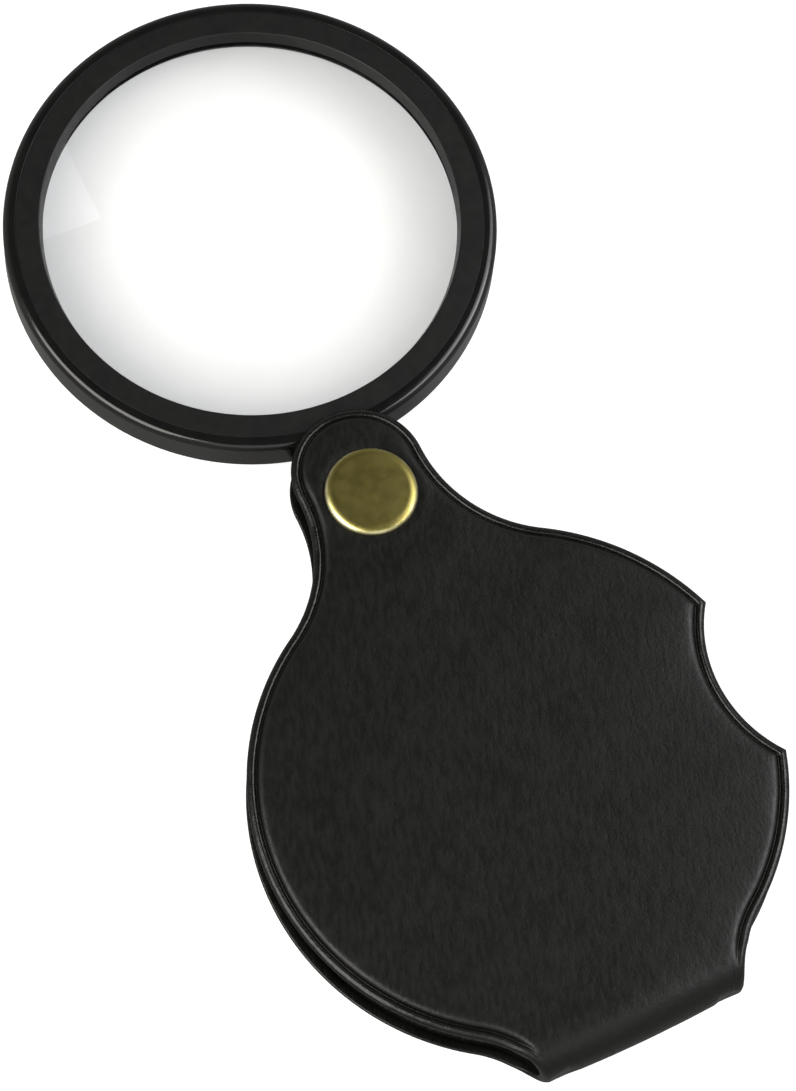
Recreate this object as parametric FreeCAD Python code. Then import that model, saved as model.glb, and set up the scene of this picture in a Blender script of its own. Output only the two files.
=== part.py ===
import FreeCAD, Part
import math
import os

# Folding pocket magnifier: a round lens in a black plastic rim that swings on a
# brass rivet out of a folded leatherette pouch.
#
# Frame, in millimetres: the origin is on the rivet's axis, on the flat outer
# face of the back rivet cap. +Z runs along the rivet towards the front cover,
# +Y points away from the pouch's fold, and the thumb notch is on the +X side.
# The lens is modelled swung out of the pouch, a little short of straight.

# Pouch, seen from the front
NECK_Y = 3.2  # centre of the rounded neck around the rivet
NECK_R = 7.95
BODY_Y = -38.4  # centre of the round body
BODY_R = 30.95
SHOULDER_R = 17.5  # hollow curve between neck and body
OGEE_R = 12.6  # hollow curve between body and fold
FOLD_HALF_WIDTH = 12.8  # half of the straight bottom edge
FOLD_AXIS_Y = -66.6  # axis that the pouch is bent about
NOTCH_X = 42.6  # centre of the thumb notch's circle
NOTCH_Y = -38.4
NOTCH_R = 16.6

# Pouch, through its thickness
CAP_STAND = 0.9  # how far each rivet cap stands off its cover
GAP = 5.8  # between the linings
LINING_T = 0.3
BOARD_T = 0.55
SKIN_T = 0.45
HEM_W = 1.5  # width of the joined rim around the boards
BEAD_W = 1.1  # part of that rim that stays lower than the padded panel
BOARD_PLAY = 0.1  # the boards and the lining stop short of the rim by this
BOARD_END = 0.3  # the boards stop short of the bend by this

# Rim and lens
SWING_RADIUS = 38.2  # rivet axis to lens axis
REST_ANGLE = -3.9  # degrees from +Y, negative towards +X
RIM_R = 29.5
RIM_T = 5.2
RIM_WALL = 1.5
SHOULDER_H = 0.9  # height of the wall's rounded front edge
WALL_EDGE = 0.15  # bevel of the wall's inner edge, at the seam
BACK_CHAMFER = 0.3
SEAT_Z = 0.85  # lens seat and retaining ring, either side of mid-plane
APERTURE_R = 24.75
BEVEL = 0.4  # how much the aperture opens towards each face
LENS_R = 25.8
LENS_EDGE_T = 1.4
LENS_SAG = 1.65
LENS_PLAY = 0.15
RING_PLAY = 0.05  # around the retaining ring
RING_DROP = 0.1  # its face lies below the wall's top by this
RING_CHAMFER = 0.2
TAB_R = 5.2  # end of the tab around the rivet
TAB_PLAY = 0.05  # tab's bosses to the linings

# Rivet
SHANK_R = 1.9
SHANK_BORE_R = 1.3
PIVOT_PLAY = 0.05
COVER_HOLE_PLAY = 0.1
CAP_R = 5.45
CAP_FLAT_R = 4.3
CAP_METAL_T = 0.25
CAP_SKIRT_H = 0.15  # straight part of the cap's edge next to the cover
FLANGE_R = 5.1
CURL_R = 4.5  # the cap's edge is curled under the flange as far in as this
CURL_T = 0.2
HEAD_R = 2.4  # spread end of the shank
HEAD_T = 0.3
FIT = 0.02  # between pieces that are pressed together

PANEL_T = SKIN_T + BOARD_T + LINING_T
MID_Z = CAP_STAND + PANEL_T + GAP / 2
FRONT_TOP_Z = 2 * MID_Z
# Distances from mid-plane of each layer's faces
LINING_IN = GAP / 2
LINING_OUT = LINING_IN + LINING_T
BOARD_OUT = LINING_OUT + BOARD_T
SKIN_OUT = BOARD_OUT + SKIN_T
REACH = 90.0  # longer than the pouch, for cutting shapes
ARC = "arc"  # marks a profile entry as the middle of an arc

UP = FreeCAD.Vector(0, 0, 1)


def point(x, y, z=0.0):
    return FreeCAD.Vector(x, y, z)


def towards(start, end, distance):
    """The point at that distance from start on the way to end."""
    way = end - start
    return start + way * (distance / way.Length)


def circles_meet(centre_a, radius_a, centre_b, radius_b, side):
    """Where two circles cross; side is 1 for the crossing left of the way from a to b, -1 for the right."""
    way = centre_b - centre_a
    along = (radius_a**2 - radius_b**2 + way.Length**2) / (2 * way.Length)
    across = math.sqrt(radius_a**2 - along**2)
    unit = way / way.Length
    return centre_a + unit * along + point(-unit.y, unit.x) * (side * across)


def arc(centre, start, end, turn):
    """The arc about centre from start to end; turn is 1 for anticlockwise, -1 for clockwise."""
    first = math.atan2(start.y - centre.y, start.x - centre.x)
    last = math.atan2(end.y - centre.y, end.x - centre.x)
    sweep = turn * ((turn * (last - first)) % (2 * math.pi))
    radius = (start - centre).Length
    middle = first + sweep / 2
    on_arc = centre + point(math.cos(middle), math.sin(middle)) * radius
    return Part.Arc(start, on_arc, end).toShape()


def mirrored(p):
    return point(-p.x, p.y)


def cover_outline(inset):
    """Outline of a cover, inset from its edge, running on past the fold at the bottom."""
    neck = point(0, NECK_Y)
    body = point(0, BODY_Y)
    notch = point(NOTCH_X, NOTCH_Y)
    shoulder = circles_meet(neck, NECK_R + SHOULDER_R, body, BODY_R + SHOULDER_R, 1)
    corner = point(FOLD_HALF_WIDTH, FOLD_AXIS_Y - SKIN_OUT)
    ogee = circles_meet(body, BODY_R + OGEE_R, corner, OGEE_R, 1)
    half_width = FOLD_HALF_WIDTH - inset
    drop = math.sqrt((OGEE_R + inset) ** 2 - (ogee.x - half_width) ** 2)
    ogee_end = point(half_width, ogee.y + drop)
    body_low = towards(body, ogee, BODY_R - inset)
    notch_low = circles_meet(body, BODY_R - inset, notch, NOTCH_R + inset, -1)
    notch_high = circles_meet(body, BODY_R - inset, notch, NOTCH_R + inset, 1)
    body_high = towards(body, shoulder, BODY_R - inset)
    neck_side = towards(neck, shoulder, NECK_R - inset)
    foot = point(half_width, -REACH)
    return Part.Wire(
        [
            Part.LineSegment(mirrored(foot), foot).toShape(),
            Part.LineSegment(foot, ogee_end).toShape(),
            arc(ogee, ogee_end, body_low, -1),
            arc(body, body_low, notch_low, 1),
            arc(notch, notch_low, notch_high, -1),
            arc(body, notch_high, body_high, 1),
            arc(shoulder, body_high, neck_side, -1),
            arc(neck, neck_side, mirrored(neck_side), 1),
            arc(mirrored(shoulder), mirrored(neck_side), mirrored(body_high), -1),
            arc(body, mirrored(body_high), mirrored(body_low), 1),
            arc(mirrored(ogee), mirrored(body_low), mirrored(ogee_end), -1),
            Part.LineSegment(mirrored(ogee_end), mirrored(foot)).toShape(),
        ]
    )


def cover_prism(inset):
    """Everything above and below a cover outline."""
    return Part.Face(cover_outline(inset)).extrude(UP * FRONT_TOP_Z)


def folded_block(half_height):
    """A block between the covers' level and the fold's round edge, open at the neck."""
    slab = Part.makeBox(
        2 * REACH,
        REACH,
        2 * half_height,
        point(-REACH, FOLD_AXIS_Y, MID_Z - half_height),
    )
    bend = Part.makeCylinder(
        half_height, 2 * REACH, point(-REACH, FOLD_AXIS_Y, MID_Z), point(1, 0, 0)
    )
    return slab.fuse(bend)


def folded_layer(outside, inside):
    """One layer of the pouch: front, back and the bend that joins them."""
    return folded_block(outside).cut(folded_block(inside))


def rivet_hole():
    return Part.makeCylinder(SHANK_R + COVER_HOLE_PLAY, FRONT_TOP_Z)


def pouch_skin():
    """Outer leatherette, one piece: padded panels and bend, with a solid rim down to the gap."""
    panels = folded_layer(SKIN_OUT, BOARD_OUT).common(cover_prism(BEAD_W))
    rim = cover_prism(0).cut(cover_prism(HEM_W))
    rim = folded_layer(BOARD_OUT, LINING_IN).common(rim)
    return panels.fuse(rim).removeSplitter().cut(rivet_hole())


def pouch_lining():
    """Inner layer, one piece, bent round with the skin."""
    inside_rim = cover_prism(HEM_W + BOARD_PLAY)
    return folded_layer(LINING_OUT, LINING_IN).common(inside_rim).cut(rivet_hole())


def cover_board(low_z):
    """Stiffening board of one cover, which ends before the bend."""
    slab = Part.makeBox(
        2 * REACH,
        REACH,
        BOARD_T,
        point(-REACH, FOLD_AXIS_Y + BOARD_END, low_z),
    )
    return slab.common(cover_prism(HEM_W + BOARD_PLAY)).cut(rivet_hole())


def turned(profile):
    """A solid of revolution about the Z axis from (radius, z) points.

    An entry marked ARC is the middle of the arc between the points before and after it.
    """
    edges = []
    start = profile[0]
    middle = None
    for entry in profile[1:] + [profile[0]]:
        if len(entry) == 3:
            middle = point(entry[0], 0, entry[1])
            continue
        first = point(start[0], 0, start[1])
        last = point(entry[0], 0, entry[1])
        if middle is None:
            edges.append(Part.LineSegment(first, last).toShape())
        else:
            edges.append(Part.Arc(first, middle, last).toShape())
        start = entry
        middle = None
    return Part.Face(Part.Wire(edges)).revolve(point(0, 0), UP, 360)


def round_over(flat, steep):
    """Profile entry for the middle of the arc that is level at flat and ends at steep."""
    wide = steep[0] - flat[0]
    high = steep[1] - flat[1]
    radius = (wide**2 + high**2) / (2 * high)
    centre = point(flat[0], 0, flat[1] + radius)
    half_way = (point(flat[0], 0, flat[1]) - centre) + (point(steep[0], 0, steep[1]) - centre)
    middle = centre + half_way * (abs(radius) / half_way.Length)
    return (middle.x, middle.z, ARC)


def swung(shape):
    """Moves a shape made about the lens's centre to its place on the swung-out rim."""
    shape.translate(point(0, SWING_RADIUS, MID_Z))
    shape.rotate(point(0, 0), UP, REST_ANGLE)
    return shape


def rim_tab():
    """Tab that joins the rim to the rivet, with a thicker boss around the bore."""
    plate = Part.makeCylinder(TAB_R, RIM_T, point(0, 0, -RIM_T / 2))
    arm = Part.makeBox(2 * TAB_R, SWING_RADIUS, RIM_T, point(-TAB_R, 0, -RIM_T / 2))
    boss_t = GAP - 2 * TAB_PLAY
    boss = Part.makeCylinder(TAB_R, boss_t, point(0, 0, -boss_t / 2))
    tab = plate.fuse(arm).fuse(boss)
    tab.translate(point(0, -SWING_RADIUS, 0))
    return tab


def lens_frame():
    """Outer rim with its back lip, lens pocket, rebate for the retaining ring, and tab."""
    half = RIM_T / 2
    wall_in = RIM_R - RIM_WALL
    pocket_r = LENS_R + LENS_PLAY
    wall_top = (wall_in + WALL_EDGE, half)
    wall_side = (RIM_R, half - SHOULDER_H)
    rim = turned(
        [
            (APERTURE_R, -SEAT_Z),
            (APERTURE_R + BEVEL, -half),
            (RIM_R - BACK_CHAMFER, -half),
            (RIM_R, -half + BACK_CHAMFER),
            wall_side,
            round_over(wall_top, wall_side),
            wall_top,
            (wall_in, half - WALL_EDGE),
            (wall_in, SEAT_Z),
            (pocket_r, SEAT_Z),
            (pocket_r, -SEAT_Z),
        ]
    )
    core = Part.makeCylinder(RIM_R - RIM_WALL / 2, RIM_T + GAP, point(0, 0, -half - GAP / 2))
    tab = rim_tab().cut(core)
    bore = Part.makeCylinder(SHANK_R + PIVOT_PLAY, 2 * GAP, point(0, -SWING_RADIUS, -GAP))
    return swung(rim.fuse(tab).removeSplitter().cut(bore))


def retaining_ring():
    """Ring pressed into the front of the rim to hold the lens."""
    top = RIM_T / 2 - RING_DROP
    outside = RIM_R - RIM_WALL - RING_PLAY
    ring = turned(
        [
            (APERTURE_R, SEAT_Z),
            (outside, SEAT_Z),
            (outside, top - RING_CHAMFER),
            (outside - RING_CHAMFER, top),
            (APERTURE_R + BEVEL, top),
        ]
    )
    return swung(ring)


def lens():
    """Biconvex lens with a ground edge."""
    edge = LENS_EDGE_T / 2
    crown = edge + LENS_SAG
    curve_r = (LENS_R**2 + LENS_SAG**2) / (2 * LENS_SAG)
    half_r = LENS_R / 2
    half_z = crown - curve_r + math.sqrt(curve_r**2 - half_r**2)
    return swung(
        turned(
            [
                (0, -crown),
                (half_r, -half_z, ARC),
                (LENS_R, -edge),
                (LENS_R, edge),
                (half_r, half_z, ARC),
                (0, crown),
            ]
        )
    )


def rivet_cap():
    """Cap shell with its flat face at z 0 and its curled edge resting at the stand-off."""
    round_z = CAP_STAND - CAP_SKIRT_H
    flat_end = (CAP_FLAT_R, 0)
    side = (CAP_R, round_z)
    inside_r = FLANGE_R + FIT
    curl_z = CAP_STAND - CURL_T
    return turned(
        [
            (0, 0),
            flat_end,
            round_over(flat_end, side),
            side,
            (CAP_R, CAP_STAND),
            (CURL_R + FIT, CAP_STAND),
            (CURL_R + FIT, curl_z + FIT),
            (inside_r, curl_z + FIT),
            (inside_r, round_z - CAP_METAL_T),
            (CAP_FLAT_R, CAP_METAL_T),
            (0, CAP_METAL_T),
        ]
    )


def flipped(shape):
    """Turns a piece of the back rivet half over to the front cover."""
    shape.rotate(point(0, 0, MID_Z), point(1, 0, 0), 180)
    return shape


def rivet_flange(bore_r):
    """Disc that fills a cap, with a hole of that radius."""
    low = CAP_METAL_T + FIT
    slope_r = CAP_FLAT_R - FIT
    slope_z = CAP_STAND - CAP_SKIRT_H - CAP_METAL_T + 2 * FIT
    return [
        (bore_r, low),
        (slope_r, low),
        (FLANGE_R, slope_z),
        (FLANGE_R, CAP_STAND - CURL_T),
        (CURL_R, CAP_STAND - CURL_T),
        (CURL_R, CAP_STAND),
    ]


def rivet_post():
    """Flange and hollow shank, spread at its far end over the socket."""
    head_top = FRONT_TOP_Z - CAP_METAL_T - 2 * FIT
    head_low = head_top - HEAD_T
    return turned(
        rivet_flange(SHANK_BORE_R)
        + [
            (SHANK_R, CAP_STAND),
            (SHANK_R, head_low),
            (HEAD_R, head_low),
            (HEAD_R, head_top),
            (SHANK_BORE_R, head_top),
        ]
    )


def rivet_socket():
    """Disc inside the front cap that the shank's end is spread over."""
    recess_z = CAP_METAL_T + 2 * FIT + HEAD_T + FIT
    recess_r = HEAD_R + FIT
    profile = rivet_flange(recess_r)
    profile += [(SHANK_R + FIT, CAP_STAND), (SHANK_R + FIT, recess_z), (recess_r, recess_z)]
    return flipped(turned(profile))


os.makedirs("parts", exist_ok=True)
nodes = {
    "pouch_skin": pouch_skin(),
    "pouch_lining": pouch_lining(),
    "front_board": cover_board(MID_Z + LINING_OUT),
    "back_board": cover_board(MID_Z - BOARD_OUT),
    "lens_frame": lens_frame(),
    "retaining_ring": retaining_ring(),
    "lens": lens(),
    "rivet_front_cap": flipped(rivet_cap()),
    "rivet_socket": rivet_socket(),
    "rivet_post": rivet_post(),
    "rivet_back_cap": rivet_cap(),
}
for name, shape in nodes.items():
    shape.exportStep("parts/" + name + ".step")
    box = shape.BoundBox
    print(
        f"{name}: {len(shape.Solids)} solid, valid {shape.isValid()}, {shape.Volume:.1f} mm3, "
        f"x {box.XMin:.2f} to {box.XMax:.2f}, y {box.YMin:.2f} to {box.YMax:.2f}, "
        f"z {box.ZMin:.2f} to {box.ZMax:.2f}"
    )
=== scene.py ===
import math

import bpy
import numpy as np
from mathutils import Matrix, Vector, geometry


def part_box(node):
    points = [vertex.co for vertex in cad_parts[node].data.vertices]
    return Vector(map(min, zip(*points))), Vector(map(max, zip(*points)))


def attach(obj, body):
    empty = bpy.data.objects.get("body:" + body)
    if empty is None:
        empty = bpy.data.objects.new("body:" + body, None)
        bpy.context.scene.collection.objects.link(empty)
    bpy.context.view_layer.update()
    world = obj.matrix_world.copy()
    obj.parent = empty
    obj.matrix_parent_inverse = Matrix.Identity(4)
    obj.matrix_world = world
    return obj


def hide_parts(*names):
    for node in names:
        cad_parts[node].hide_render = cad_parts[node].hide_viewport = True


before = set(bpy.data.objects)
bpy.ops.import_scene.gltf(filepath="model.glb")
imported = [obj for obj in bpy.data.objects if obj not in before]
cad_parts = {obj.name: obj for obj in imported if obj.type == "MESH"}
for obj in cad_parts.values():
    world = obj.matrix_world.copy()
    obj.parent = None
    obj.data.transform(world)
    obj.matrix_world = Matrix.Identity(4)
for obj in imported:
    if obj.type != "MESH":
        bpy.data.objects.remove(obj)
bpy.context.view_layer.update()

# Looks of a folding pocket magnifier. The frame's origin is on the rivet's axis at
# the back cap's flat face, +Z towards the front cover, +Y away from the pouch's fold.
# Lengths are metres, written as millimetres times MM.
MM = 0.001

# ---- Places read from the frame
skin_low, skin_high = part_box("pouch_skin")
lens_low, lens_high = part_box("lens")
MID_Z = (skin_low.z + skin_high.z) / 2
SKIN_OUT = (skin_high.z - skin_low.z) / 2  # mid-plane to a cover's outer face
FOLD_Y = skin_low.y + SKIN_OUT  # axis that the pouch is bent about
LENS_X = (lens_low.x + lens_high.x) / 2
LENS_Y = (lens_low.y + lens_high.y) / 2
LENS_TURN = math.atan2(-LENS_X, LENS_Y)  # from +Y, about +Z
LINING_T = 0.3 * MM
GAP_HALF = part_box("pouch_lining")[1].z - MID_Z - LINING_T  # mid-plane to the lining's inner face
QUARTER_BEND = SKIN_OUT * math.pi / 2  # flat length of half the bend

# ---- Pouch outline, as in the CAD
NECK_Y = 3.2 * MM
NECK_R = 7.95 * MM
BODY_Y = -38.4 * MM
BODY_R = 30.95 * MM
SHOULDER_R = 17.5 * MM
OGEE_R = 12.6 * MM
FOLD_HALF_WIDTH = 12.8 * MM
NOTCH_X = 42.6 * MM
NOTCH_Y = -38.4 * MM
NOTCH_R = 16.6 * MM
OUTLINE_STEP = 0.4 * MM  # spacing of the points along it

# ---- Pouch section; heights are from the lining's inner face, insets from the pouch's edge
PANEL_TOP = 1.30 * MM
PANEL_CROWN = 0.42 * MM  # how much the panel's middle stands higher than its border
CROWN_START = 1.5 * MM
CROWN_REACH = 7 * MM
RELIEF_START = 1.0 * MM  # crown, dents and bumps fade in from here
RELIEF_FADE = 1.5 * MM
EDGE_WAIST = 0.26 * MM  # height of the outermost point
ROUND_OVER = 0.9 * MM  # width of the plain rounded edge that the bend has instead of a groove
BEAD_MIDDLE = 0.45 * MM  # the rim's bead, where its unevenness is strongest
BEAD_WIDTH = 0.35 * MM
GROOVE_END = 7.5 * MM  # distance from the fold's line at which the groove starts to run out
GROOVE_FADE = 3.5 * MM
PRESSED_WIDTH = 6 * MM  # ring around the cap that the rivet pulls down
LIP_R = 6.3 * MM  # slight lip around that cap
LIP_WIDTH = 0.5 * MM
LIP_HEIGHT = 0.10 * MM
LINING_INSET = 1.6 * MM
RIVET_HOLE_R = 2.0 * MM
HOLE_POINTS = 48
GRAIN_TURN = math.radians(-20)  # the leatherette's grain, from +Y

# ---- Rim, retaining ring and tab; heights are from mid-plane
RIM_R = 29.5 * MM
RIM_HALF = 2.6 * MM
REBATE_R = 28.0 * MM  # bore that the retaining ring is pressed into
APERTURE_R = 24.75 * MM
MOUTH_R = 25.15 * MM  # the aperture at either face
POCKET_R = 25.95 * MM  # around the lens's edge
SEAT = 0.85 * MM  # down to the lens's seat, and up to the retaining ring
RING_TOP = 2.5 * MM
TAB_HALF_WIDTH = 5.2 * MM
TAB_BOSS = 2.85 * MM  # height of the boss around the tab's bore
TAB_BORE_R = 1.95 * MM
TAB_BOSS_R = 4.7 * MM
TAB_BOSS_FOOT_R = 4.85 * MM
TAB_ROOT_R = 28.75 * MM  # the tab ends inside the rim's wall
TAB_SQUARENESS = 0.35  # under 1, it moves the far half's points out to the straight sides
TAB_REACH = 1.8  # over 1, it takes most of them on to the wall
TAB_ANGLES = 2 * math.pi * np.arange(96) / 96
LENS_EDGE = 0.7 * MM  # half of the lens's ground edge
# Painted shade: the lens's colour is painted greyer out to this radius, in place of the rim's shadow
# on the floor seen through it.
PAINTED_SHADE_R = 25 * MM  # the lens gets greyer up to here, just under the rim

# ---- Rivet caps; heights are from the cover
CAP_R = 5.45 * MM
CAP_FLAT_R = 4.3 * MM  # the gently domed top
CAP_DOME = 0.05 * MM  # rise of that top
CAP_SKIRT = 0.16 * MM  # the rounded shoulder comes down to here
CURL_R = 4.5 * MM  # the edge is curled under, in to here

# ---- CAD nodes that stay shown
BOARDS = ("front_board", "back_board")
INNER_RIVET = ("rivet_post", "rivet_socket")

# ---- Camera
CAMERA_AZIMUTH = math.radians(-32.33)
CAMERA_ELEVATION = math.radians(68.59)
CAMERA_ROLL = math.radians(6.70)
CAMERA_DISTANCE = 525.2 * MM
CAMERA_TARGET = Vector((0.78 * MM, -5.89 * MM, MID_Z))
CAMERA_LENS = 148.5  # millimetres, on a 36 mm sensor
LIGHT_TARGET = Vector((0, -5 * MM, 0))


# ---------------------------------------------------------------- camera and light
def direction(azimuth, elevation):
    """Unit vector from the object; azimuth 0 points to -Y and 90 degrees to +X."""
    level = math.cos(elevation)
    return Vector((math.sin(azimuth) * level, -math.cos(azimuth) * level, math.sin(elevation)))


def make_camera():
    back = direction(CAMERA_AZIMUTH, CAMERA_ELEVATION)
    right = Vector((math.cos(CAMERA_AZIMUTH), math.sin(CAMERA_AZIMUTH), 0))
    up = back.cross(right)
    turn = Matrix((right, up, back)).transposed() @ Matrix.Rotation(CAMERA_ROLL, 3, "Z")
    data = bpy.data.cameras.new("camera")
    data.lens = CAMERA_LENS
    data.sensor_width = 36
    data.clip_start = 0.01
    data.clip_end = 20
    place = Matrix.Translation(CAMERA_TARGET + back * CAMERA_DISTANCE)
    camera = bpy.data.objects.new("camera", data)
    camera.matrix_world = place @ turn.to_4x4()
    bpy.context.scene.collection.objects.link(camera)
    bpy.context.scene.camera = camera


def softbox(name, azimuth, elevation, distance, size, brightness, turn=0.0, tint=(1, 1, 1)):
    """Area light aimed at LIGHT_TARGET, in degrees and metres. turn rolls it about its aim, and
    brightness is the radiance of its face."""
    data = bpy.data.lights.new(name, "AREA")
    data.shape = "RECTANGLE"
    data.size, data.size_y = size
    data.energy = math.pi * size[0] * size[1] * brightness
    data.color = tint
    back = direction(math.radians(azimuth), math.radians(elevation))
    light = bpy.data.objects.new(name, data)
    light.location = LIGHT_TARGET + back * distance
    light.rotation_mode = "QUATERNION"
    roll = Matrix.Rotation(math.radians(turn), 3, "Z")
    light.rotation_quaternion = (back.to_track_quat("Z", "Y").to_matrix() @ roll).to_quaternion()
    bpy.context.scene.collection.objects.link(light)


def make_lights():
    """A long box on either side for the edges' highlights, a key box on the right and a wide fill
    for the fold and the rim's near wall."""
    softbox("left", -86, 44, 0.60, (0.56, 0.36), 7.5, tint=(1, 0.985, 0.91))
    softbox("right", 60, 40, 0.60, (0.50, 0.24), 6)
    softbox("key", 90, 48, 0.80, (0.45, 0.45), 4.0, turn=-4)
    softbox("fill", -15, 38, 1.20, (1.0, 0.7), 1.3)


def make_studio():
    """Grey surroundings, bright near the floor and dark overhead."""
    world = bpy.data.worlds.new("studio")
    world.use_nodes = True
    bpy.context.scene.world = world
    nodes = world.node_tree.nodes
    link = world.node_tree.links.new
    where = nodes.new("ShaderNodeTexCoord")
    split = nodes.new("ShaderNodeSeparateXYZ")
    ramp = nodes.new("ShaderNodeValToRGB")
    elements = ramp.color_ramp.elements
    elements.new(0.5)
    greys = ((0.0, 0.65), (0.35, 0.42), (0.85, 0.05))  # height, brightness
    for element, (height, grey) in zip(elements, greys):
        element.position = height
        element.color = (grey, grey, grey, 1)
    link(where.outputs["Generated"], split.inputs[0])
    link(split.outputs["Z"], ramp.inputs["Fac"])
    link(ramp.outputs["Color"], nodes["Background"].inputs["Color"])
    nodes["Background"].inputs["Strength"].default_value = 1.0
    bpy.context.scene.view_settings.view_transform = "Standard"


def make_floor():
    """Pale floor. It looks whiter to the camera than it does to the object, whose black sides stay
    black, as on a photograph with a whitened background."""
    half = 6.0  # metres
    mesh = bpy.data.meshes.new("floor")
    corners = [(-half, -half, 0), (half, -half, 0), (half, half, 0), (-half, half, 0)]
    mesh.from_pydata(corners, [], [(0, 1, 2, 3)])
    floor = bpy.data.objects.new("floor", mesh)
    bpy.context.scene.collection.objects.link(floor)
    material, tree, shader = new_material("pale_floor")
    n = Nodes(tree)
    rays = tree.nodes.new("ShaderNodeLightPath").outputs
    seen = n.math("MAXIMUM", rays["Is Camera Ray"], rays["Is Transmission Ray"])
    tone = n.colours(seen, (0, (0.24, 0.24, 0.24)), (1, (0.5, 0.5, 0.5)))
    n.link(tone, shader.inputs["Base Color"])
    n.link(n.math("MULTIPLY", seen, 0.7), shader.inputs["Emission Strength"])
    shader.inputs["Emission Color"].default_value = (1, 1, 1, 1)
    shader.inputs["Roughness"].default_value = 0.9
    shader.inputs["Specular IOR Level"].default_value = 0.0
    mesh.materials.append(material)


# ---------------------------------------------------------------- materials
def new_material(name):
    material = bpy.data.materials.new(name)
    material.use_nodes = True
    tree = material.node_tree
    return material, tree, tree.nodes["Principled BSDF"]


class Nodes:
    """Short calls for building a material's node tree. A value may be a socket or a number."""

    def __init__(self, tree):
        self.tree = tree
        self.place = tree.nodes.new("ShaderNodeTexCoord").outputs["Object"]

    def link(self, source, socket):
        if isinstance(source, (int, float)):
            socket.default_value = source
        else:
            self.tree.links.new(source, socket)

    def noise(self, size, detail=3.0, roughness=0.55, stretch=(1, 1, 1), turn=0.0):
        """Noise with features of that size, in metres, drawn out along an axis where stretch is
        under 1, with its pattern turned about +Z."""
        mapping = self.tree.nodes.new("ShaderNodeMapping")
        mapping.vector_type = "TEXTURE"
        mapping.inputs["Rotation"].default_value[2] = turn
        mapping.inputs["Scale"].default_value = [1 / part for part in stretch]
        self.link(self.place, mapping.inputs["Vector"])
        node = self.tree.nodes.new("ShaderNodeTexNoise")
        node.inputs["Scale"].default_value = 1 / size
        node.inputs["Detail"].default_value = detail
        node.inputs["Roughness"].default_value = roughness
        self.link(mapping.outputs["Vector"], node.inputs["Vector"])
        return node.outputs["Fac"]

    def cells(self, size, feature="SMOOTH_F1"):
        node = self.tree.nodes.new("ShaderNodeTexVoronoi")
        node.feature = feature
        node.inputs["Scale"].default_value = 1 / size
        self.link(self.place, node.inputs["Vector"])
        return node.outputs["Distance"]

    def math(self, operation, first, second=0.0, third=0.0):
        node = self.tree.nodes.new("ShaderNodeMath")
        node.operation = operation
        for source, socket in zip((first, second, third), node.inputs):
            self.link(source, socket)
        return node.outputs[0]

    def ramp(self, value, low, high, first, last):
        """Maps value from low..high to first..last, smoothly and clamped."""
        node = self.tree.nodes.new("ShaderNodeMapRange")
        node.interpolation_type = "SMOOTHSTEP"
        node.inputs["From Min"].default_value = low
        node.inputs["From Max"].default_value = high
        node.inputs["To Min"].default_value = first
        node.inputs["To Max"].default_value = last
        self.link(value, node.inputs["Value"])
        return node.outputs["Result"]

    def colours(self, value, *stops):
        """Colour ramp through (position, colour) stops."""
        node = self.tree.nodes.new("ShaderNodeValToRGB")
        elements = node.color_ramp.elements
        while len(elements) < len(stops):
            elements.new(0.5)
        for element, (position, colour) in zip(elements, stops):
            element.position = position
            element.color = (*colour, 1)
        self.link(value, node.inputs["Fac"])
        return node.outputs["Color"]

    def radius(self, x=0.0, y=0.0):
        """Distance from the vertical line through (x, y)."""
        shift = self.tree.nodes.new("ShaderNodeVectorMath")
        shift.operation = "SUBTRACT"
        shift.inputs[1].default_value = (x, y, 0)
        self.link(self.place, shift.inputs[0])
        flat = self.tree.nodes.new("ShaderNodeVectorMath")
        flat.operation = "MULTIPLY"
        flat.inputs[1].default_value = (1, 1, 0)
        self.link(shift.outputs[0], flat.inputs[0])
        size = self.tree.nodes.new("ShaderNodeVectorMath")
        size.operation = "LENGTH"
        self.link(flat.outputs[0], size.inputs[0])
        return size.outputs["Value"]

    def bump(self, height, depth, shader, after=None):
        node = self.tree.nodes.new("ShaderNodeBump")
        node.inputs["Strength"].default_value = 1.0
        node.inputs["Distance"].default_value = depth
        self.link(height, node.inputs["Height"])
        if after is not None:
            self.link(after, node.inputs["Normal"])
        self.link(node.outputs["Normal"], shader.inputs["Normal"])
        return node.outputs["Normal"]


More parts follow.
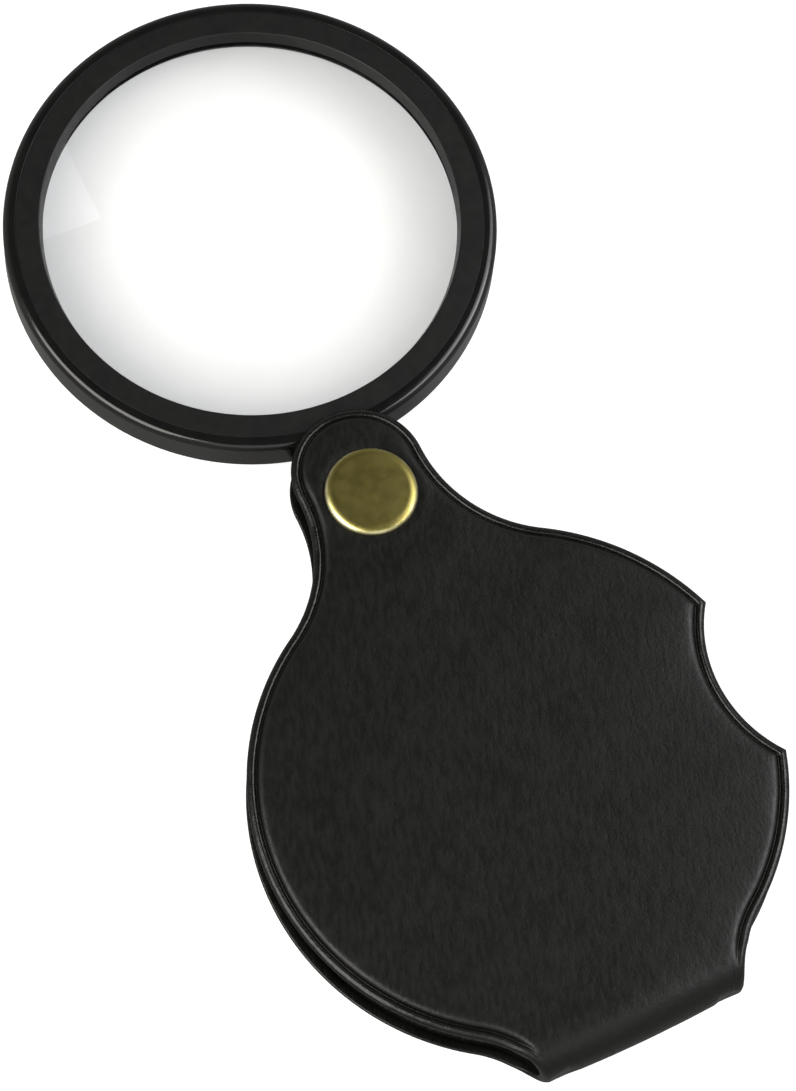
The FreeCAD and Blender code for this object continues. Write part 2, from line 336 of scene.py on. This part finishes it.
def leatherette():
    """Black leatherette: pebbled grain drawn out one way, faint mottling, a rim that handling has
    polished, and small creases by the fold."""
    material, tree, shader = new_material("leatherette")
    n = Nodes(tree)
    shader.inputs["Specular IOR Level"].default_value = 0.28
    mottle = n.noise(7 * MM, detail=5)
    n.link(
        n.colours(mottle, (0.3, (0.0019, 0.0019, 0.0016)), (0.7, (0.0032, 0.0032, 0.0028))),
        shader.inputs["Base Color"],
    )
    split = tree.nodes.new("ShaderNodeSeparateXYZ")
    n.link(n.place, split.inputs[0])
    near_fold = n.ramp(split.outputs["Y"], FOLD_Y - 2 * MM, FOLD_Y + 7 * MM, 1, 0)
    from_middle = n.math("ABSOLUTE", n.math("SUBTRACT", split.outputs["Z"], MID_Z))
    bead_top = GAP_HALF + 0.80 * MM
    panel_foot = GAP_HALF + 1.05 * MM
    rim = n.ramp(from_middle, bead_top, panel_foot, 1, 0)
    rim = n.math("MULTIPLY", rim, n.math("SUBTRACT", 1, near_fold))
    streak = n.noise(0.55 * MM, detail=3, stretch=(1, 0.32, 1), turn=GRAIN_TURN)
    matte = n.ramp(streak, 0.3, 0.7, 0.36, 0.46)
    n.link(n.math("MULTIPLY_ADD", rim, -0.14, matte), shader.inputs["Roughness"])
    pebbles = n.math("MULTIPLY", n.cells(0.42 * MM), 0.8)
    grain = n.math("MULTIPLY_ADD", streak, 1.6, n.math("ADD", pebbles, n.noise(0.22 * MM, detail=3)))
    first = n.bump(grain, 0.018 * MM, shader)
    creases = n.math("MULTIPLY", n.noise(1.5 * MM, detail=2, stretch=(1, 0.16, 1)), near_fold)
    n.bump(creases, 0.05 * MM, shader, after=first)
    return material


def lining_cloth():
    """Inner layer: smoother, a little glossier from the lens sliding on it."""
    material, tree, shader = new_material("lining")
    n = Nodes(tree)
    shader.inputs["Specular IOR Level"].default_value = 0.3
    mottle = n.noise(3 * MM, detail=4)
    n.link(
        n.colours(mottle, (0.3, (0.010, 0.010, 0.0105)), (0.7, (0.017, 0.017, 0.0165))),
        shader.inputs["Base Color"],
    )
    n.link(n.ramp(n.noise(2 * MM), 0.3, 0.7, 0.5, 0.65), shader.inputs["Roughness"])
    n.bump(n.noise(0.25 * MM, detail=3), 0.012 * MM, shader)
    return material


def board():
    """Grey-brown pressed board with its fibres lying one way."""
    material, tree, shader = new_material("board")
    n = Nodes(tree)
    fibres = n.noise(0.8 * MM, detail=6, stretch=(1, 0.4, 1))
    n.link(
        n.colours(fibres, (0.3, (0.27, 0.22, 0.16)), (0.7, (0.38, 0.32, 0.25))),
        shader.inputs["Base Color"],
    )
    shader.inputs["Roughness"].default_value = 0.9
    n.bump(n.noise(0.3 * MM), 0.02 * MM, shader)
    return material


def rim_plastic():
    """Moulded black plastic with a satin skin."""
    material, tree, shader = new_material("frame_plastic")
    n = Nodes(tree)
    mottle = n.noise(6 * MM, detail=3)
    n.link(
        n.colours(mottle, (0.35, (0.0035, 0.0035, 0.0036)), (0.65, (0.0055, 0.0055, 0.0053))),
        shader.inputs["Base Color"],
    )
    shader.inputs["Specular IOR Level"].default_value = 0.4
    n.link(n.ramp(n.noise(1.6 * MM, detail=5), 0.3, 0.7, 0.13, 0.21), shader.inputs["Roughness"])
    n.bump(n.noise(0.6 * MM, detail=3), 0.003 * MM, shader)
    return material


def ring_plastic():
    """Retaining ring: the same plastic with a finely etched matte face."""
    material, tree, shader = new_material("ring_plastic")
    n = Nodes(tree)
    shader.inputs["Specular IOR Level"].default_value = 0.35
    mottle = n.noise(4 * MM, detail=4)
    n.link(
        n.colours(mottle, (0.35, (0.0040, 0.0040, 0.0041)), (0.65, (0.0050, 0.0050, 0.0048))),
        shader.inputs["Base Color"],
    )
    n.link(n.ramp(n.noise(1.0 * MM, detail=5), 0.3, 0.7, 0.37, 0.42), shader.inputs["Roughness"])
    n.bump(n.noise(0.16 * MM, detail=2), 0.006 * MM, shader)
    return material


def antique_brass():
    """Brass with an olive patina, brushed one way and worn brighter round the cap's edge."""
    material, tree, shader = new_material("antique_brass")
    n = Nodes(tree)
    shader.inputs["Metallic"].default_value = 1.0
    brushed = n.noise(0.45 * MM, detail=2, stretch=(1, 0.1, 1), turn=GRAIN_TURN)
    patina = n.math("MULTIPLY_ADD", brushed, 0.22, n.math("MULTIPLY", n.noise(6 * MM, detail=2), 0.78))
    worn = n.ramp(n.radius(), 0.86 * CAP_R, 1.0 * CAP_R, 0.0, 0.38)
    n.link(
        n.colours(
            n.math("ADD", patina, worn),
            (0.35, (0.262, 0.216, 0.063)),
            (0.65, (0.276, 0.240, 0.073)),
            (0.95, (0.74, 0.69, 0.42)),
        ),
        shader.inputs["Base Color"],
    )
    n.link(n.ramp(n.noise(1.6 * MM, detail=2), 0.3, 0.7, 0.33, 0.38), shader.inputs["Roughness"])
    n.bump(brushed, 0.0015 * MM, shader)
    return material


def rivet_metal():
    """Plain brass of the rivet's inner pieces."""
    material, tree, shader = new_material("rivet_metal")
    n = Nodes(tree)
    shader.inputs["Metallic"].default_value = 1.0
    tarnish = n.noise(1.5 * MM, detail=5)
    n.link(
        n.colours(tarnish, (0.3, (0.40, 0.33, 0.16)), (0.7, (0.55, 0.47, 0.27))),
        shader.inputs["Base Color"],
    )
    n.link(n.ramp(n.noise(0.5 * MM), 0.3, 0.7, 0.3, 0.45), shader.inputs["Roughness"])
    return material


def lens_glass():
    """Clear glass with painted shade: its colour greys towards its edge, in place of the rim's shadow
    on the floor seen through it. It lets lamps' rays through, so that the floor behind it stays lit."""
    material, tree, shader = new_material("lens_glass")
    tree.nodes.remove(shader)
    glass = tree.nodes.new("ShaderNodeBsdfGlass")
    glass.inputs["IOR"].default_value = 1.5
    glass.inputs["Roughness"].default_value = 0.0
    n = Nodes(tree)
    # Painted shade: the glass's colour darkens from the middle out to the rim, standing in for the
    # rim's shadow.
    from_centre = n.math("DIVIDE", n.radius(LENS_X, LENS_Y), PAINTED_SHADE_R)
    n.link(
        n.colours(
            from_centre,
            (0.3, (0.955, 0.955, 0.955)),
            (0.5, (0.875, 0.875, 0.875)),
            (0.7, (0.822, 0.823, 0.825)),
            (0.88, (0.775, 0.777, 0.78)),
            (1.0, (0.725, 0.728, 0.733)),
        ),
        glass.inputs["Color"],
    )
    clear = tree.nodes.new("ShaderNodeBsdfTransparent")
    clear.inputs["Color"].default_value = (0.93, 0.93, 0.93, 1)
    rays = tree.nodes.new("ShaderNodeLightPath")
    mix = tree.nodes.new("ShaderNodeMixShader")
    n.link(rays.outputs["Is Shadow Ray"], mix.inputs["Fac"])
    n.link(glass.outputs[0], mix.inputs[1])
    n.link(clear.outputs[0], mix.inputs[2])
    n.link(mix.outputs[0], tree.nodes["Material Output"].inputs["Surface"])
    return material


# ---------------------------------------------------------------- mesh helpers
ON_AXIS = 1e-9  # a radius under this is none


def new_piece(name, vertices, faces, material, body):
    """Smooth-shaded mesh that rides on a body."""
    mesh = bpy.data.meshes.new(name)
    mesh.from_pydata([tuple(v) for v in vertices], [], faces)
    mesh.validate()
    mesh.polygons.foreach_set("use_smooth", [True] * len(mesh.polygons))
    mesh.materials.append(material)
    piece = bpy.data.objects.new(name, mesh)
    bpy.context.scene.collection.objects.link(piece)
    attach(piece, body)
    return piece


def rounded(corners, steps=5):
    """A profile of (radius, z, rounding) corners with each corner rounded, as (radius, z) points."""
    points = []
    count = len(corners)
    for i, (r, z, rounding) in enumerate(corners):
        here = Vector((r, z))
        if rounding == 0:
            points.append(here)
            continue
        before = (Vector(corners[i - 1][:2]) - here).normalized()
        after = (Vector(corners[(i + 1) % count][:2]) - here).normalized()
        half_angle = before.angle(after) / 2
        reach = rounding / math.tan(half_angle)
        centre = here + (before + after).normalized() * (rounding / math.sin(half_angle))
        first = here + before * reach - centre
        last = here + after * reach - centre
        sweep = first.angle_signed(last)
        for k in range(steps + 1):
            arm = first.copy()
            arm.rotate(Matrix.Rotation(-sweep * k / steps, 2))
            points.append(centre + arm)
    return points


def lathe(profile, segments, centre=(0, 0, 0)):
    """Vertices and faces of a profile turned about the vertical through centre. A profile that
    starts and ends on the axis is closed there; any other is closed on itself."""
    starts_on_axis = abs(profile[0][0]) < ON_AXIS
    cx, cy, cz = centre
    vertices = []
    rows = []
    for r, z in profile:
        if abs(r) < ON_AXIS:
            rows.append([len(vertices)] * segments)
            vertices.append((cx, cy, cz + z))
            continue
        rows.append(list(range(len(vertices), len(vertices) + segments)))
        for k in range(segments):
            a = 2 * math.pi * k / segments
            vertices.append((cx + r * math.cos(a), cy + r * math.sin(a), cz + z))
    faces = []
    pairs = list(zip(rows, rows[1:]))
    if not starts_on_axis:
        pairs.append((rows[-1], rows[0]))
    for low, high in pairs:
        for k in range(segments):
            m = (k + 1) % segments
            face = [low[k], low[m], high[m], high[k]]
            face = [v for i, v in enumerate(face) if v != face[i - 1]]
            faces.append(face)
    return vertices, faces


def weight_normals(piece):
    """Keeps flat faces looking flat next to small rounded edges."""
    modifier = piece.modifiers.new("normals", "WEIGHTED_NORMAL")
    modifier.keep_sharp = False
    modifier.weight = 80


# ---------------------------------------------------------------- pouch blank
def circles_meet(centre_a, radius_a, centre_b, radius_b, side):
    """Where two circles cross: left of the way from a to b if side is 1, right of it if -1."""
    way = centre_b - centre_a
    along = (radius_a**2 - radius_b**2 + way.length_squared) / (2 * way.length)
    across = math.sqrt(radius_a**2 - along**2)
    unit = way.normalized()
    return centre_a + unit * along + Vector((-unit.y, unit.x)) * (side * across)


def arc_points(centre, start, end, turn, count):
    """Points from start to just before end on the arc about centre; turn is 1 for anticlockwise
    and -1 for clockwise."""
    first = math.atan2(start.y - centre.y, start.x - centre.x)
    last = math.atan2(end.y - centre.y, end.x - centre.x)
    sweep = turn * ((turn * (last - first)) % (2 * math.pi))
    angles = first + sweep * np.arange(count) / count
    radius = (start - centre).length
    return np.stack([centre.x + radius * np.cos(angles), centre.y + radius * np.sin(angles)], 1)


def flat_length(y):
    """Distance on the flat blank from the fold's line to the front cover's point at y."""
    if y >= FOLD_Y:
        return QUARTER_BEND + y - FOLD_Y
    return SKIN_OUT * math.acos(min(1.0, (FOLD_Y - y) / SKIN_OUT))


def cover_edge(inset):
    """One cover's edge on the blank as (x, s) points, from the fold's right end round to its
    left end. Every inset gives the same number of points."""
    neck = Vector((0, NECK_Y))
    body = Vector((0, BODY_Y))
    notch = Vector((NOTCH_X, NOTCH_Y))
    shoulder = circles_meet(neck, NECK_R + SHOULDER_R, body, BODY_R + SHOULDER_R, 1)
    corner = Vector((FOLD_HALF_WIDTH, FOLD_Y - SKIN_OUT))
    ogee = circles_meet(body, BODY_R + OGEE_R, corner, OGEE_R, 1)
    half_width = FOLD_HALF_WIDTH - inset
    drop = math.sqrt((OGEE_R + inset) ** 2 - (ogee.x - half_width) ** 2)
    ogee_end = Vector((half_width, ogee.y + drop))
    body_low = body + (ogee - body).normalized() * (BODY_R - inset)
    notch_low = circles_meet(body, BODY_R - inset, notch, NOTCH_R + inset, -1)
    notch_high = circles_meet(body, BODY_R - inset, notch, NOTCH_R + inset, 1)
    body_high = body + (shoulder - body).normalized() * (BODY_R - inset)
    neck_side = neck + (shoulder - neck).normalized() * (NECK_R - inset)

    def left(p):
        return Vector((-p.x, p.y))

    # centre, start, end, turn, rough length in millimetres
    arcs = [
        (ogee, ogee_end, body_low, -1, 10.0),
        (body, body_low, notch_low, 1, 18.0),
        (notch, notch_low, notch_high, -1, 21.0),
        (body, notch_high, body_high, 1, 24.0),
        (shoulder, body_high, neck_side, -1, 20.0),
        (neck, neck_side, left(neck_side), 1, 28.0),
        (left(shoulder), left(neck_side), left(body_high), -1, 20.0),
        (body, left(body_high), left(body_low), 1, 63.0),
        (left(ogee), left(body_low), left(ogee_end), -1, 10.0),
    ]
    rows = [
        arc_points(centre, start, end, turn, round(length * MM / OUTLINE_STEP))
        for centre, start, end, turn, length in arcs
    ]
    edge = np.concatenate(rows + [np.array([[-half_width, ogee_end.y]])])
    edge[:, 1] = [flat_length(y) for y in edge[:, 1]]
    return edge


def blank_ring(inset):
    """Closed edge of the whole flat blank: the front cover's, then the back cover's."""
    front = cover_edge(inset)
    return np.concatenate([front, front[::-1] * (1, -1)])


def folded(x, s, height):
    """Places of flat-blank points, at that height above the gap, once the blank is bent round."""
    radius = GAP_HALF + height
    turn = np.clip(s / SKIN_OUT, -math.pi / 2, math.pi / 2)
    straight = np.maximum(np.abs(s) - QUARTER_BEND, 0)
    y = FOLD_Y - radius * np.cos(turn) + straight
    z = MID_Z + radius * np.sin(turn)
    return np.stack([x, y, z], 1)


def wobble(x, s, size):
    """Smooth unevenness between about -1 and 1 with bumps of that size."""
    u, v = 2 * math.pi * x / size, 2 * math.pi * s / size
    waves = (
        np.sin(0.83 * u + 0.41 * v + 1.3),
        np.sin(-0.37 * u + 0.92 * v + 0.4),
        np.sin(0.59 * u - 0.71 * v + 2.9),
        np.sin(1.31 * u + 0.17 * v + 5.1) * 0.6,
        np.sin(0.22 * u + 1.43 * v + 3.7) * 0.6,
    )
    return sum(waves) / 3


def edge_distance(points, ring):
    """Distance from each point to a closed ring."""
    a, b = ring, np.roll(ring, -1, 0)
    way = b - a
    square = np.maximum((way**2).sum(1), 1e-18)
    nearest = np.full(len(points), 1e9)
    for i in range(len(a)):
        t = np.clip(((points - a[i]) @ way[i]) / square[i], 0, 1)
        nearest = np.minimum(nearest, np.hypot(*(points - a[i] - t[:, None] * way[i]).T))
    return nearest


def inside(points, ring):
    """True for points inside a closed ring."""
    a, b = ring, np.roll(ring, -1, 0)
    found = np.zeros(len(points), bool)
    for (ax, ay), (bx, by) in zip(a, b):
        if ay == by:
            continue
        crosses = (ay > points[:, 1]) != (by > points[:, 1])
        found ^= crosses & (points[:, 0] < (bx - ax) * (points[:, 1] - ay) / (by - ay) + ax)
    return found


def rivet_spots():
    """The rivet's axis on the flat blank, in the front and in the back cover."""
    s = flat_length(0.0)
    return np.array([[0, s], [0, -s]])


def circle(centre, radius, count):
    """That many points around a circle."""
    a = 2 * math.pi * np.arange(count) / count
    return centre + radius * np.stack([np.cos(a), np.sin(a)], 1)


def filled(ring, step):
    """Points and triangles that fill a ring, with the two rivet holes left open. The ring's
    points come first, then the holes' points."""
    spots = rivet_spots()
    holes = [circle(spot, RIVET_HOLE_R, HOLE_POINTS) for spot in spots]
    fine_step = 0.7 * MM
    fine_radii = np.array([2.9, 3.9, 4.8, 5.3, 5.7, 6.1, 6.6]) * MM
    fine_reach = 7.1 * MM
    fine_margin = 0.35 * MM  # from the ring, which coarse points keep 0.6 of a step from
    hole_flats = 0.985 * RIVET_HOLE_R  # a triangle with its middle inside this lies in the hole
    around = [
        circle(spot, radius, round(2 * math.pi * radius / fine_step))
        for spot in spots
        for radius in fine_radii
    ]
    around = np.concatenate(around)
    around = around[inside(around, ring)]
    around = around[edge_distance(around, ring) > fine_margin]
    low, high = ring.min(0), ring.max(0)
    grid = []
    for i, s in enumerate(np.arange(low[1], high[1], step * math.sqrt(3) / 2)):
        x = np.arange(low[0] + step / 2 * (i % 2), high[0], step)
        grid.append(np.stack([x, np.full_like(x, s)], 1))
    grid = np.concatenate(grid)
    grid = grid[inside(grid, ring)]
    grid = grid[edge_distance(grid, ring) > 0.6 * step]
    for spot in spots:
        grid = grid[np.hypot(*(grid - spot).T) > fine_reach]
    points = np.concatenate([ring, *holes, around, grid])
    edges = []
    start = 0
    for loop in [ring, *holes]:
        count = len(loop)
        edges += [(start + i, start + (i + 1) % count) for i in range(count)]
        start += count
    result = geometry.delaunay_2d_cdt([Vector(p / MM) for p in points], edges, [], 1, 1e-6)
    source = [origin[0] for origin in result[3]]
    triangles = np.array([[source[i] for i in face] for face in result[2]])
    middle = points[triangles].mean(1)
    keep = np.ones(len(triangles), bool)
    for spot in spots:
        keep &= np.hypot(*(middle - spot).T) > hole_flats
    return points, triangles[keep]


def layer(profile, step, relief):
    """Vertices and faces of one bent layer of the pouch. profile is its section at the edge, as
    (inset, height) from the middle of the outer side round the edge to the middle of the inner
    side. relief(x, s, inset, height) gives the outer surface's own height."""
    count = len(blank_ring(profile[0][0]))
    outer_points, outer_faces = filled(blank_ring(profile[0][0]), step)
    inner_points, inner_faces = filled(blank_ring(profile[-1][0]), step)
    edge = blank_ring(0.0)
    outer_inset = edge_distance(outer_points, edge)
    plain_height = np.full(len(outer_points), profile[0][1])
    outer_height = relief(*outer_points.T, outer_inset, plain_height)
    vertices = [folded(*outer_points.T, outer_height)]
    faces = [tuple(f) for f in outer_faces]
    total = len(outer_points)
    rows = [np.arange(count)]
    for inset, height in profile[1:-1]:
        ring = blank_ring(inset)
        heights = relief(*ring.T, np.full(count, inset), np.full(count, height))
        vertices.append(folded(*ring.T, heights))
        rows.append(np.arange(total, total + count))
        total += count
    inner_height = np.full(len(inner_points), profile[-1][1])
    vertices.append(folded(*inner_points.T, inner_height))
    rows.append(np.arange(total, total + count))
    faces += [tuple(total + f[::-1]) for f in inner_faces]
    for first, second in zip(rows, rows[1:]):
        for i in range(count):
            m = (i + 1) % count
            faces.append((first[m], first[i], second[i], second[m]))
    for hole in range(2):
        at = count + hole * HOLE_POINTS
        for i in range(HOLE_POINTS):
            m = (i + 1) % HOLE_POINTS
            faces.append((at + i, at + m, total + at + m, total + at + i))
    return np.concatenate(vertices), faces


def declare_sheet(inset):
    """Works out the layer's blank edge at that inset, and does nothing more with it."""
    ring = blank_ring(inset)


def smooth(part):
    """Eases from 0 to 1 while part goes from 0 to 1."""
    part = np.clip(part, 0, 1)
    return part * part * (3 - 2 * part)


def in_metres(section, start=0.0):
    """A section of (inset, height) pairs in millimetres, as metres, with its insets counted from
    start."""
    return [(start + inset * MM, height * MM) for inset, height in section]


def skin_relief(x, s, inset, height):
    """Padded panel: crowned towards its middle, pressed down by the rivet, slightly uneven. The
    groove runs out where the pouch bends."""
    bend = smooth((GROOVE_END - np.abs(s)) / GROOVE_FADE) * (height > EDGE_WAIST)
    across = np.clip(inset / ROUND_OVER, 0, 1)
    plain = EDGE_WAIST + (PANEL_TOP - EDGE_WAIST) * np.sqrt(1 - (1 - across) ** 2)
    height = height + bend * (np.maximum(plain, height) - height)
    panel = np.clip((inset - RELIEF_START) / RELIEF_FADE, 0, 1)
    crown = PANEL_CROWN * (1 - np.exp(-np.maximum(inset - CROWN_START, 0) / CROWN_REACH))
    from_rivet = np.min([np.hypot(x - spot[0], s - spot[1]) for spot in rivet_spots()], 0)
    pressed = smooth((from_rivet - CAP_R) / PRESSED_WIDTH)
    lip = LIP_HEIGHT * np.exp(-(((from_rivet - LIP_R) / LIP_WIDTH) ** 2))
    uneven = 0.035 * MM * wobble(x, s, 14 * MM) + 0.012 * MM * wobble(x, s, 4.5 * MM)
    bead = np.exp(-(((inset - BEAD_MIDDLE) / BEAD_WIDTH) ** 2)) * (height > EDGE_WAIST)
    ripple = bead * (0.02 * MM * wobble(x, s, 2.2 * MM) + 0.015 * MM * wobble(x, s, 6 * MM))
    return height + panel * (crown + uneven) * pressed + panel * lip + ripple * (1 - bend)


def pouch_skin(material):
    """Outer leatherette in one piece: padded panels, pressed groove, rounded rim and bend."""
    panel_side = [
        (3.2, 1.30),
        (2.5, 1.295),
        (2.1, 1.285),
        (1.85, 1.26),
        (1.65, 1.20),
        (1.50, 1.12),
        (1.38, 1.01),
        (1.29, 0.88),
    ]
    groove = [
        (1.22, 0.74),
        (1.15, 0.60),
        (1.08, 0.53),
        (1.01, 0.59),
        (0.95, 0.67),
        (0.88, 0.74),
        (0.80, 0.80),
    ]
    bead = [
        (0.71, 0.84),
        (0.61, 0.855),
        (0.52, 0.835),
        (0.42, 0.79),
        (0.31, 0.73),
        (0.21, 0.665),
        (0.13, 0.59),
        (0.07, 0.50),
        (0.025, 0.39),
    ]
    round_edge = [(0.0, 0.26), (0.025, 0.14), (0.09, 0.045), (0.2, 0.0)]
    underside = [(0.8, 0.0), (1.5, 0.0), (1.5, 0.84), (1.9, 0.86), (3.2, 0.86)]
    profile = in_metres(panel_side + groove + bead + round_edge + underside)
    vertices, faces = layer(profile, 1.2 * MM, skin_relief)
    piece = new_piece("leather_skin", vertices, faces, material, "pouch")
    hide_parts("pouch_skin")
    declare_sheet(0.0)


def pouch_lining(material):
    """Inner layer, a thin sheet with soft edges."""
    outer_side = [(1.4, 0.30), (0.3, 0.30), (0.06, 0.28), (0.0, 0.2)]
    inner_side = [(0.0, 0.1), (0.06, 0.02), (0.3, 0.0), (1.4, 0.0)]
    profile = in_metres(outer_side + inner_side, LINING_INSET)

    def flat(x, s, inset, height):
        return height

    vertices, faces = layer(profile, 2.5 * MM, flat)
    piece = new_piece("leather_lining", vertices, faces, material, "pouch")
    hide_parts("pouch_lining")
    declare_sheet(LINING_INSET)


# ---------------------------------------------------------------- rim, lens, rivet
def placed(vertices):
    """Turns points made about the rivet, with the lens straight up +Y, to the lens's place."""
    turn = Matrix.Rotation(LENS_TURN, 4, "Z")
    return [turn @ Vector(v) for v in vertices]


def lens_rim(material):
    """Rim with its back lip, lens pocket and rebate, and the tab that turns on the rivet."""
    seam_top = RIM_HALF - 0.05 * MM
    profile = rounded(
        [
            (APERTURE_R, -SEAT, 0.1 * MM),
            (MOUTH_R, -RIM_HALF, 0.25 * MM),
            (RIM_R, -RIM_HALF, 0.45 * MM),
            (RIM_R, RIM_HALF, 0.95 * MM),
            (REBATE_R, seam_top, 0.04 * MM),
            (REBATE_R, SEAT, 0),
            (POCKET_R, SEAT, 0),
            (POCKET_R, -SEAT, 0),
        ]
    )
    vertices, faces = lathe(profile, 360, (LENS_X, LENS_Y, MID_Z))
    tab_vertices, tab_faces = tab()
    start = len(vertices)
    vertices = vertices + placed(tab_vertices)
    faces = faces + [[start + i for i in face] for face in tab_faces]
    piece = new_piece("rim", vertices, faces, material, "lens_assembly")
    weight_normals(piece)
    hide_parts("lens_frame")


def tab_outline(grow):
    """Half circle around the rivet with straight sides up to the rim's wall, drawn in where grow
    is negative."""
    swing = math.hypot(LENS_X, LENS_Y)
    wide = TAB_HALF_WIDTH + grow
    points = []
    for a in TAB_ANGLES:
        across, along = math.cos(a), math.sin(a)
        x, y = wide * across, wide * along
        if y > 0:
            from_middle = min(TAB_HALF_WIDTH * abs(across) ** TAB_SQUARENESS, wide)
            x = math.copysign(from_middle, across)
            wall = swing - math.sqrt(TAB_ROOT_R**2 - x * x)
            y = wall * min(1.0, along * TAB_REACH)
        points.append((x, y))
    return points


def tab_circle(radius):
    """Circle about the rivet with as many points as the tab's outline."""
    return [(radius * math.cos(a), radius * math.sin(a)) for a in TAB_ANGLES]


def tab():
    """Arm from the rivet to the rim, with a raised boss around the bore, as closed rings."""
    boss_top = tab_circle(TAB_BOSS_R)
    boss_foot = tab_circle(TAB_BOSS_FOOT_R)
    bore = tab_circle(TAB_BORE_R)
    edge = 0.25 * MM  # rounding of the arm's edges
    turn_in = 0.07 * MM
    upper = [
        (tab_outline(0), RIM_HALF - edge),
        (tab_outline(-turn_in), RIM_HALF - turn_in),
        (tab_outline(-edge), RIM_HALF),
        (boss_foot, RIM_HALF),
        (boss_top, TAB_BOSS),
        (bore, TAB_BOSS),
    ]
    rings = [(points, -z) for points, z in reversed(upper)] + upper
    count = len(TAB_ANGLES)
    vertices = [(x, y, MID_Z + z) for points, z in rings for x, y in points]
    faces = []
    for i in range(len(rings)):
        low, high = i * count, ((i + 1) % len(rings)) * count
        for k in range(count):
            m = (k + 1) % count
            faces.append([low + k, low + m, high + m, high + k])
    return vertices, faces


def retaining_ring(material):
    """Flat ring pressed into the rim's rebate, with a soft inner edge."""
    foot_play = 0.05 * MM
    top_play = 0.03 * MM
    profile = rounded(
        [
            (APERTURE_R, SEAT, 0.05 * MM),
            (REBATE_R - foot_play, SEAT, 0.05 * MM),
            (REBATE_R - top_play, RING_TOP, 0.04 * MM),
            (MOUTH_R, RING_TOP, 0.16 * MM),
        ]
    )
    vertices, faces = lathe(profile, 360, (LENS_X, LENS_Y, MID_Z))
    piece = new_piece("front_ring", vertices, faces, material, "lens_assembly")
    weight_normals(piece)
    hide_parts("retaining_ring")


def lens(material):
    """Biconvex lens with a sharp ground edge."""
    radius = (lens_high.x - lens_low.x) / 2
    half_thick = (lens_high.z - lens_low.z) / 2
    sag = half_thick - LENS_EDGE
    curve = (radius**2 + sag**2) / (2 * sag)
    radii = np.linspace(0, radius, 49)
    height = half_thick - curve + np.sqrt(curve**2 - radii**2)
    top = [(r, z) for r, z in zip(radii[::-1], height[::-1])]
    bottom = [(r, -z) for r, z in zip(radii, height)]
    profile = bottom + top
    vertices, faces = lathe(profile, 240, (LENS_X, LENS_Y, MID_Z))
    piece = new_piece("lens_glass", vertices, faces, material, "lens_assembly")
    tolerance = 0.01 * MM
    points = [v.co for v in piece.data.vertices]
    on_edge = [math.hypot(p.x - LENS_X, p.y - LENS_Y) > radius - tolerance for p in points]
    for e in piece.data.edges:
        a, b = e.vertices
        level = abs(points[a].z - points[b].z) < tolerance
        e.use_edge_sharp = on_edge[a] and on_edge[b] and level
    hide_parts("lens")


def rivet_cap(name, node, side, material):
    """Domed cap whose rounded edge is curled in against the cover; side is 1 for the front and
    -1 for the back."""
    low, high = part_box(node)
    radius = (high.x - low.x) / 2
    seat_z = low.z if side > 0 else high.z
    height = high.z - low.z
    centre_z = (CAP_FLAT_R**2 + CAP_DOME**2) / (2 * CAP_DOME)
    radii = np.linspace(0, CAP_FLAT_R, 20)
    profile = [(r, height - centre_z + math.sqrt(centre_z**2 - r * r)) for r in radii]
    wide = radius - CAP_FLAT_R
    high_part = height - CAP_DOME - CAP_SKIRT
    steps = 14
    for k in range(1, steps + 1):
        a = math.radians(90) * k / steps
        profile.append((CAP_FLAT_R + wide * math.sin(a), CAP_SKIRT + high_part * math.cos(a)))
    lower_edge = [
        (radius - 0.02 * MM, 0.07 * MM),
        (radius - 0.1 * MM, 0.01 * MM),
        (radius - 0.3 * MM, 0.0),
    ]
    curled_under = [
        (CURL_R + 0.1 * MM, 0.0),
        (CURL_R, 0.06 * MM),
        (CURL_R, 0.2 * MM),
    ]
    hollow = [
        (5.0 * MM, 0.2 * MM),
        (5.0 * MM, 0.4 * MM),
        (4.2 * MM, 0.62 * MM),
        (0, 0.62 * MM),
    ]
    profile += lower_edge + curled_under + hollow
    vertices, faces = lathe(profile, 160)
    vertices = [(x, y, seat_z + side * z) for x, y, z in vertices]
    if side < 0:
        faces = [face[::-1] for face in faces]
    piece = new_piece(name, vertices, faces, material, "pouch")
    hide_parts(node)


def paint(nodes, material):
    """Gives CAD nodes that stay shown one material."""
    for node in nodes:
        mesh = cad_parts[node].data
        mesh.materials.clear()
        mesh.materials.append(material)


make_camera()
make_lights()
make_studio()
make_floor()
pouch_skin(leatherette())
pouch_lining(lining_cloth())
lens_rim(rim_plastic())
retaining_ring(ring_plastic())
lens(lens_glass())
brass = antique_brass()
rivet_cap("cap_front", "rivet_front_cap", 1, brass)
rivet_cap("cap_back", "rivet_back_cap", -1, brass)
paint(BOARDS, board())
paint(INNER_RIVET, rivet_metal())
